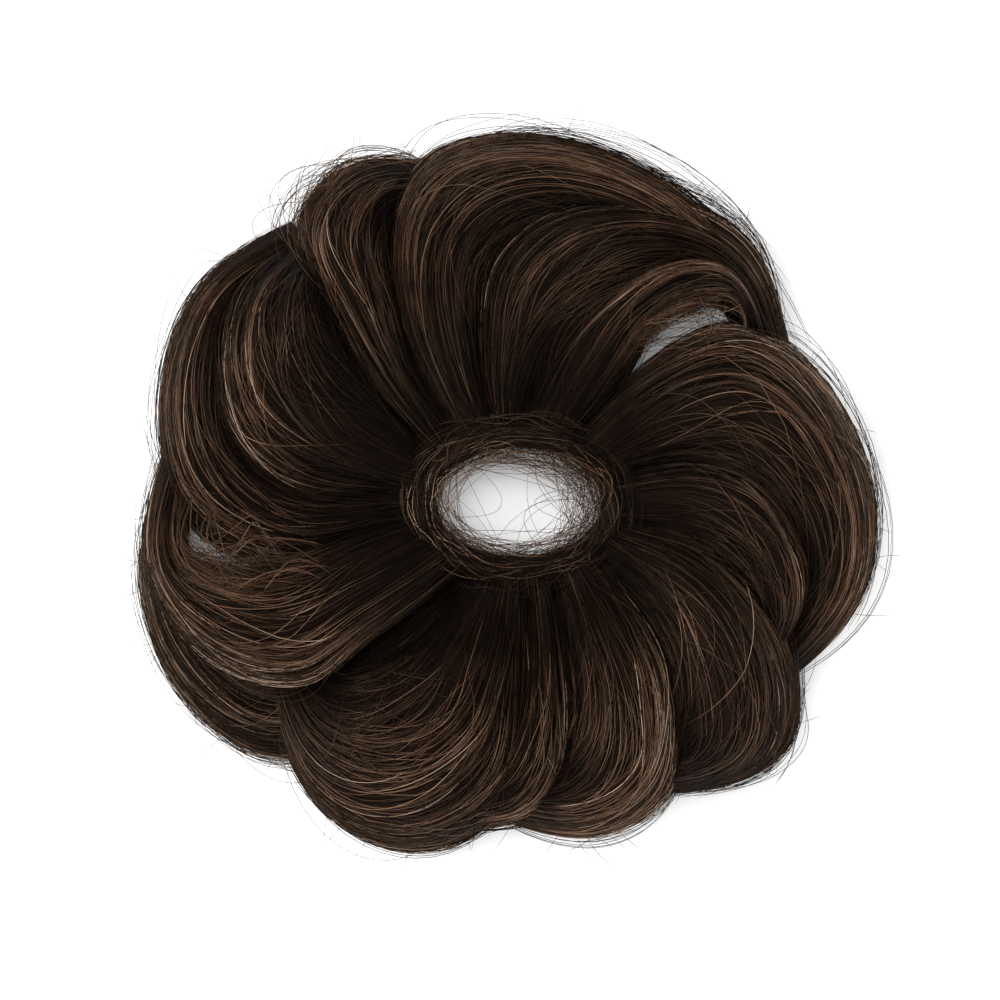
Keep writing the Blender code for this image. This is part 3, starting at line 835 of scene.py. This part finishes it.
# %% Hairs wound round the ring
WOUND_HAIRS = 430
WOUND_LIFT = 1.5 * MM
WOUND_WIDE = 8.5 * MM
WOUND_SWEEP = (0.4, 1.7)  # how far round a hair runs, in radians
WOUND_START, WOUND_INNERMOST = -0.4 * MM, -0.7 * MM
WOUND_CROWD = 1.7  # above 1, the hairs crowd towards the opening
WOUND_DRIFT = 1.1 * MM
WOUND_THINNER = 0.85
WOUND_OUT_MM = (-1.0, 0.0, 1.5, 3.4, 5.5, 7.5, 12.0)  # out from the opening's edge
WOUND_UP_MM = (11.0, 14.5, 16.8, 17.4, 17.2, 17.6, 21.5)
WOUND_SHADE = ((0.0, 4.0, 9.0), (1.0, 0.8, 0.55))
PALE_WOUND, BROWN_WOUND = 0.16, 0.24  # shares of the hairs, the rest are nearly black
PALE_WOUND_TONES, BROWN_WOUND_TONES, BLACK_WOUND_TONES = (0.65, 0.92), (0.25, 0.55), (0.0, 0.12)
# Painted light: the hairs are paler at the ring's left end, where the light falls.
LEFT_PAINTED_LIGHT, LEFT_PAINTED_GAIN = 0.06, 0.5  # how much paler the hairs are at the ring's left end


def wound_hairs(count, rng):
    """Hairs that run round the wound band and over the first of the curls: paths, radii and tones."""
    start = rng.uniform(0, 2 * math.pi, count)
    sweep = rng.uniform(*WOUND_SWEEP, count) * rng.choice((-1, 1), count)
    along = np.linspace(0, 1, HAIR_POINTS)[None].repeat(count, 0)
    turn = start[:, None] + sweep[:, None] * along
    out = WOUND_START + WOUND_WIDE * rng.uniform(0, 1, count)[:, None] ** WOUND_CROWD
    out = np.maximum(out + wander(rng, count, along, WOUND_DRIFT), WOUND_INNERMOST)
    up = np.interp(out / MM, WOUND_OUT_MM, WOUND_UP_MM) * MM
    up = up + rng.uniform(0, WOUND_LIFT, count)[:, None]
    x, y = oval(turn, out)
    pick = rng.uniform(0, 1, count)
    pale, black = rng.uniform(*PALE_WOUND_TONES, count), rng.uniform(*BLACK_WOUND_TONES, count)
    tones = np.where(pick < PALE_WOUND, pale, black)
    tones = np.where(pick > 1 - BROWN_WOUND, rng.uniform(*BROWN_WOUND_TONES, count), tones)[:, None]
    # Painted light at the ring's left end, and painted shade further out from the opening.
    left = np.clip(-np.cos(turn), 0.0, 1.0)
    tones = (tones + LEFT_PAINTED_LIGHT * left) * np.interp(out / MM, *WOUND_SHADE) * (1 + LEFT_PAINTED_GAIN * left)
    return np.stack([x, y, up], -1), rng.uniform(*HAIR_RADIUS, count) * WOUND_THINNER, tones


hair_object("band_wrap_hairs", *wound_hairs(WOUND_HAIRS, np.random.default_rng(21)))
print("hairs round the ring:", WOUND_HAIRS)

# %% [markdown]
# ## Frizz and stray hairs
# The real piece has fine hairs that left their lock: a veil of crossing arcs at the
# edge of the opening, long soft loops along the edges of the curls, and short ends
# that stick out of the rim. They are few, but they are what makes the edge read as
# hair. The veil is made of quadratic curves, because a curve with one control point
# bends one way only and never shows a corner.

# %% Frizz across the opening
FRIZZ_HAIRS = 260
FRIZZ_POINTS = 14
FRIZZ_RIGHT_SHARE = 0.5
FRIZZ_THICK_SIDE, FRIZZ_FAN = 0.3, 0.8  # where the veil is thickest, and how far it fans out, in radians
FRIZZ_HALF_SPAN, FRIZZ_TILT = (0.4, 1.3), 0.3  # half the angle between a hair's ends, and its slant
FRIZZ_ENDS = (0.98, 1.2)  # where the ends lie
FRIZZ_MIDDLE = 1.02  # where the middle lies at most
FRIZZ_IN_RIGHT, FRIZZ_IN_REST = 0.5, 0.28  # how far in from there it goes
FRIZZ_FAR_SHARE, FRIZZ_FAR_MIDDLE = 0.05, (0.1, 0.8)  # the few that cross the opening
FRIZZ_DRIFT, FRIZZ_UP_DRIFT = 0.15 * MM, 0.8 * MM
FRIZZ_LOWEST = 8.0 * MM
FRIZZ_TONES = (0.15, 0.8)
FINE_RADIUS = (0.046 * MM, 0.070 * MM)


def frizz(count, rng):
    """Smooth arcs over the opening, from the wound band back to it. Half of them keep to its right end.

    Distances from the middle are shares of the oval, so 1 is the opening's edge.
    """
    right = rng.uniform(0, 1, count) < FRIZZ_RIGHT_SHARE
    fanned = rng.normal(FRIZZ_THICK_SIDE, FRIZZ_FAN, count)
    heading = np.where(right, fanned, rng.uniform(0, 2 * math.pi, count))
    half = rng.uniform(*FRIZZ_HALF_SPAN, count)
    tilt = rng.normal(0, FRIZZ_TILT, count)
    close, far_in = rng.uniform(0, 1, count), rng.uniform(0, 1, count)
    middle_at = FRIZZ_MIDDLE - np.where(right, FRIZZ_IN_RIGHT * close, FRIZZ_IN_REST * far_in)
    far = rng.uniform(0, 1, count) < FRIZZ_FAR_SHARE
    middle_at = np.where(far, rng.uniform(*FRIZZ_FAR_MIDDLE, count), middle_at)
    start, end = heading - half + tilt, heading + half + tilt
    leaves, lands = rng.uniform(*FRIZZ_ENDS, count), rng.uniform(*FRIZZ_ENDS, count)
    pull = 2 * middle_at - np.cos(half) * (leaves + lands) / 2
    along = np.linspace(0, 1, FRIZZ_POINTS)[None]
    first, middle, last = (1 - along) ** 2, 2 * along * (1 - along), along**2
    flat = []
    for size, wave in ((HOLE_HALF_LONG, np.cos), (HOLE_HALF_SHORT, np.sin)):
        ends = first * (leaves * wave(start))[:, None] + last * (lands * wave(end))[:, None]
        flat.append(size * (ends + middle * (pull * wave(heading))[:, None]))
    flat[0] = flat[0] + wander(rng, count, along.repeat(count, 0), FRIZZ_DRIFT)
    up = rng.uniform(FRIZZ_LOWEST, WRAP_HEIGHT, count)[:, None]
    up = up + wander(rng, count, along.repeat(count, 0), FRIZZ_UP_DRIFT)
    paths = np.stack([RING_X + flat[0], RING_Y + flat[1], np.maximum(up, ON_FLOOR)], -1)
    return paths, rng.uniform(*FINE_RADIUS, count), rng.uniform(*FRIZZ_TONES, count)


hair_object("opening_frizz", *frizz(FRIZZ_HAIRS, np.random.default_rng(31)))

# %% Stray hairs along the edges of the curls
STRAY_POINTS = 16
STRAY_BUNCH = 3  # strays that leave the curl together
STRAY_REACH, STRAY_MEAN = 6.0 * MM, 2.3 * MM
STRAY_LONG, STRAY_SPREAD = (0.2, 0.5), 0.02  # a bunch's length, in shares of the curl, and its spread
STRAY_LEAVES = (0.3, 0.95)  # where on the arch, from 0 at its middle to 1 at its hem
STRAY_DRIFT = 0.04
STRAY_OWN_LIFT = 0.4 * MM
ODD_LIFT = 0.5  # every second bunch leaves only this far
OPEN_SHARE = 0.3  # the strays that end in the air
OPEN_BOW, CLOSED_BOW = 1.6, 0.8  # how a stray leaves the curl: below 1 at once, above 1 slowly
BOW_RISE = 0.3  # how far a stray rises for each millimetre that it goes out
STRAY_THICKER = 1.25
STRAY_TONES, OUTER_DARKER = (0.2, 0.75), 0.6
OUTER_STRAYS = 57
INNER_STRAYS = {"curl_top_front": 170, "curl_lower_left": 200}  # these cross the two slits
INNER_MEAN = 3.4 * MM
WILD_STRAYS = 70
WILD_CURL = "curl_top_left"
WILD_REACH, WILD_MEAN = 12.0 * MM, 4.5 * MM


def strays(shape, count, outer, rng, most=STRAY_REACH, mean=STRAY_MEAN, begins=(0.12, 0.62)):
    """Loose hairs that leave one edge of a curl. Most come back to it, and some end in the air."""
    bunch = np.arange(count) // STRAY_BUNCH * STRAY_BUNCH
    begin = rng.uniform(*begins, count)[bunch] + rng.normal(0, STRAY_SPREAD, count)
    end = begin + rng.uniform(*STRAY_LONG, count)[bunch] + rng.normal(0, STRAY_SPREAD, count)
    end = np.minimum(end, 1.0)
    along = np.linspace(0, 1, STRAY_POINTS)[None]
    s = begin[:, None] + (end - begin)[:, None] * along
    turn = rng.uniform(*STRAY_LEAVES, count)[:, None] + wander(rng, count, s, STRAY_DRIFT)
    lift = rng.exponential(mean, count)[bunch] * np.where(bunch % 2, ODD_LIFT, 1.0)
    lift = np.minimum(lift + rng.exponential(STRAY_OWN_LIFT, count), most)
    open_end = rng.uniform(0, 1, count) < OPEN_SHARE
    shape_of_bow = np.where(open_end[:, None], along**OPEN_BOW, np.sin(math.pi * along) ** CLOSED_BOW)
    bow = lift[:, None] * shape_of_bow
    inner_edge, outer_edge = edge_points(shape, "inner", s), edge_points(shape, "outer", s)
    across = (outer_edge - inner_edge) / np.linalg.norm(outer_edge - inner_edge, axis=-1, keepdims=True)
    way = 1 if outer else -1
    path = arch(shape, s, way * np.clip(turn, -1, 1) * math.pi / 2, np.zeros_like(s))
    path[..., :2] += way * across * bow[..., None]
    path[..., 2] += BOW_RISE * bow
    path[..., 2] = np.maximum(path[..., 2], ON_FLOOR)
    return path


# %% Short ends that stick out of the rim
SPIKES = 16
SPIKE_POINTS = 7
SPIKE_LONG = (3.0 * MM, 9.0 * MM)
SPIKE_ALONG, SPIKE_OUT = (0.15, 0.9), (0.5, 0.9)  # where they leave the curl
SPIKE_DEEP = 0.3 * MM
SPIKE_TURN, SPIKE_BOW, SPIKE_RISE = 0.7, 0.22, (-0.2, 0.5)
SPIKE_TONES = (0.1, 0.5)
EDGE_ROOM = 7.0 * MM  # how far they may stand past the model


def spikes(shape, count, rng):
    """Short hairs that stick out of the outer edge of a curl, each at its own angle."""
    s = rng.uniform(*SPIKE_ALONG, (count, 1))
    turn = rng.uniform(*SPIKE_OUT, (count, 1)) * math.pi / 2
    foot = arch(shape, s, turn, np.full_like(s, SPIKE_DEEP))
    across = edge_points(shape, "outer", s) - edge_points(shape, "inner", s)
    heading = np.arctan2(across[..., 1], across[..., 0]) + rng.normal(0, SPIKE_TURN, (count, 1))
    length = rng.uniform(*SPIKE_LONG, (count, 1))
    bow = rng.normal(0, SPIKE_BOW, (count, 1)) * length
    along = np.linspace(0, 1, SPIKE_POINTS)[None]
    path = np.repeat(foot, SPIKE_POINTS, axis=1)
    path[..., 0] += length * along * np.cos(heading) - bow * along**2 * np.sin(heading)
    path[..., 1] += length * along * np.sin(heading) + bow * along**2 * np.cos(heading)
    path[..., 2] += rng.uniform(*SPIKE_RISE, (count, 1)) * length * along
    low, high = cad_low - EDGE_ROOM, cad_high + EDGE_ROOM
    return np.clip(path, (low[0], low[1], ON_FLOOR), high)


# %% Let hairs stray
rng = np.random.default_rng(41)
paths = [strays(shape, OUTER_STRAYS, True, rng) for shape in CURLS]
by_name = {shape.name: shape for shape in CURLS}
for name, count in INNER_STRAYS.items():
    paths.append(strays(by_name[name], count, False, rng, WILD_REACH, INNER_MEAN, (0.25, 0.6)))
paths.append(strays(by_name[WILD_CURL], WILD_STRAYS, True, rng, WILD_REACH, WILD_MEAN, (0.45, 0.78)))
paths = np.concatenate(paths)
radii = rng.uniform(*FINE_RADIUS, len(paths)) * STRAY_THICKER
at_rim = np.arange(len(paths)) < OUTER_STRAYS * len(CURLS)
tones = rng.uniform(*STRAY_TONES, len(paths)) * np.where(at_rim, OUTER_DARKER, 1.0)
hair_object("rim_strays", paths, radii, tones)
print("stray hairs:", len(paths))
paths = np.concatenate([spikes(shape, SPIKES, rng) for shape in CURLS])
radii = rng.uniform(*FINE_RADIUS, len(paths))
hair_object("rim_spikes", paths, radii, rng.uniform(*SPIKE_TONES, len(paths)))

# %% [markdown]
# ## Floor, light and camera
# The hairpiece lies on a plain white surface and is seen from straight above. A long
# lens from over a metre away keeps its outline true. Four broad soft lights and a
# surround that is pale at the horizon show the dark hair by its sheen. The floor is a
# matt paper sweep, which mirrors nothing and keeps its shadows soft. It gives off a
# little light of its own, so that it is white in the picture without brighter lamps,
# which would turn the hair grey.

# %% Floor
FLOOR_HALF = 0.8
FLOOR_GLOW = 0.12
PAPER_ROUGHNESS, PAPER_SHINE = 0.9, 0.1


def make_floor():
    """A wide plain surface at z = 0."""
    corners = [(x * FLOOR_HALF, y * FLOOR_HALF, 0) for x, y in ((-1, -1), (1, -1), (1, 1), (-1, 1))]
    mesh = bpy.data.meshes.new("floor")
    mesh.from_pydata(corners, [], [(0, 1, 2, 3)])
    look, _, shader = new_material("matt_white_paper_sweep")
    shader.inputs["Base Color"].default_value = linear("#f6f6f6")
    shader.inputs["Roughness"].default_value = PAPER_ROUGHNESS
    shader.inputs["Specular IOR Level"].default_value = PAPER_SHINE
    shader.inputs["Emission Color"].default_value = linear("#ffffff")
    shader.inputs["Emission Strength"].default_value = FLOOR_GLOW
    mesh.materials.append(look)
    made = bpy.data.objects.new("floor", mesh)
    bpy.context.scene.collection.objects.link(made)


make_floor()

# %% Lights
def softbox(name, size, power, place, aim=(0, 0, 0)):
    """A square area light at place, in metres, that faces aim."""
    data = bpy.data.lights.new(name, "AREA")
    data.size = size
    data.energy = power
    made = bpy.data.objects.new(name, data)
    made.location = place
    made.rotation_euler = (Vector(aim) - Vector(place)).to_track_quat("-Z", "Y").to_euler()
    bpy.context.scene.collection.objects.link(made)


softbox("light_above", 0.9, 20, (-0.3, 0.25, 1.5))
softbox("light_left", 0.6, 9, (-1.1, 0.3, 0.7))
softbox("light_right", 0.6, 7, (1.1, -0.3, 0.7))
softbox("light_front", 0.6, 7, (-0.2, -1.1, 0.7))

# %% A surround that is pale at the horizon and dim overhead
HORIZON, OVERHEAD = 0.95, 0.30
PALE_TO, DIM_FROM = 0.12, 0.5  # heights on the surround's sphere, whose top is at 1
world = bpy.data.worlds.new("surround")
world.use_nodes = True
sky = world.node_tree
direction = add(sky, "ShaderNodeTexCoord")
split = add(sky, "ShaderNodeSeparateXYZ", Vector=direction.outputs["Generated"])
level = add(sky, "ShaderNodeMapRange",
            {"From Min": PALE_TO, "From Max": DIM_FROM, "To Min": HORIZON, "To Max": OVERHEAD},
            Value=split.outputs["Z"])
sky.links.new(level.outputs["Result"], sky.nodes["Background"].inputs["Strength"])
sky.nodes["Background"].inputs["Color"].default_value = linear("#ffffff")
bpy.context.scene.world = world

# %% Picture settings
# The denoiser takes colours and normals as they are, which keeps single hairs crisp.
bpy.context.scene.cycles.denoising_prefilter = "NONE"
bpy.context.scene.view_settings.view_transform = "Standard"

# %% Camera
SENSOR_MM = 36.0
LENS_MM = 200.0
FRAME_WIDE = 215.34 * MM
FRAME_HEIGHT = 12.0 * MM  # the level where the frame has that width
VIEW_X, VIEW_Y = -1.53 * MM, -1.70 * MM
CLIP_END = 20.0
camera_data = bpy.data.cameras.new("camera")
camera_data.lens = LENS_MM
camera_data.sensor_width = SENSOR_MM
camera_data.clip_end = CLIP_END
camera = bpy.data.objects.new("camera", camera_data)
camera.location = (VIEW_X, VIEW_Y, FRAME_HEIGHT + FRAME_WIDE * LENS_MM / SENSOR_MM)
bpy.context.scene.collection.objects.link(camera)
bpy.context.scene.camera = camera
print("camera height in m:", round(camera.location.z, 3))
